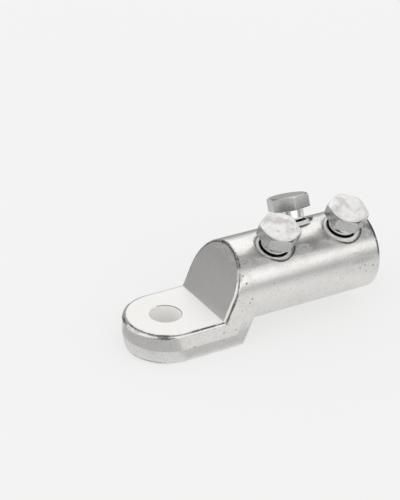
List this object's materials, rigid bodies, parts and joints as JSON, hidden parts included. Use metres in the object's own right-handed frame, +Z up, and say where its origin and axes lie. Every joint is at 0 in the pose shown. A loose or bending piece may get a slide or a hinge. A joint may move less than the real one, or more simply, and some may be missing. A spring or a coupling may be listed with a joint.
{
  "type": "shear bolt cable lug",
  "caption": "Tinned cable lug: flat palm with a stud hole, blind round barrel for a stripped cable end, and shear-off hexagon bolts that clamp it.",
  "frame": {"origin": "middle of the palm hole, on the palm's underside", "axes": "+X along the barrel from the palm towards the cable's mouth, +Z up through the palm hole, away from the busbar that the palm lies on"},
  "size_m": [0.1417, 0.0475, 0.0649],
  "materials": {
    "tinned_body": "satin tin plate over a cast aluminium alloy",
    "tinned_bolt": "satin tin plate, turned"
  },
  "bodies": {
    "lug": {"lug_body": "tinned_body"},
    "bolt_1": {"shear_bolt_1": "tinned_bolt"},
    "bolt_2": {"shear_bolt_2": "tinned_bolt"},
    "bolt_3": {"shear_bolt_3": "tinned_bolt"}
  },
  "joints": [
    {"name": "screw_1", "type": "slide", "parent": "lug", "child": "bolt_1", "axis": [0, 0.3665, -0.9304], "range_m": [-0.0057, 0.004]},
    {"name": "screw_2", "type": "slide", "parent": "lug", "child": "bolt_2", "axis": [0, -0.3939, -0.9191], "range_m": [-0.0036, 0.0061]},
    {"name": "screw_3", "type": "slide", "parent": "lug", "child": "bolt_3", "axis": [0, 0.3665, -0.9304], "range_m": [-0.0045, 0.0052]}
  ]
}
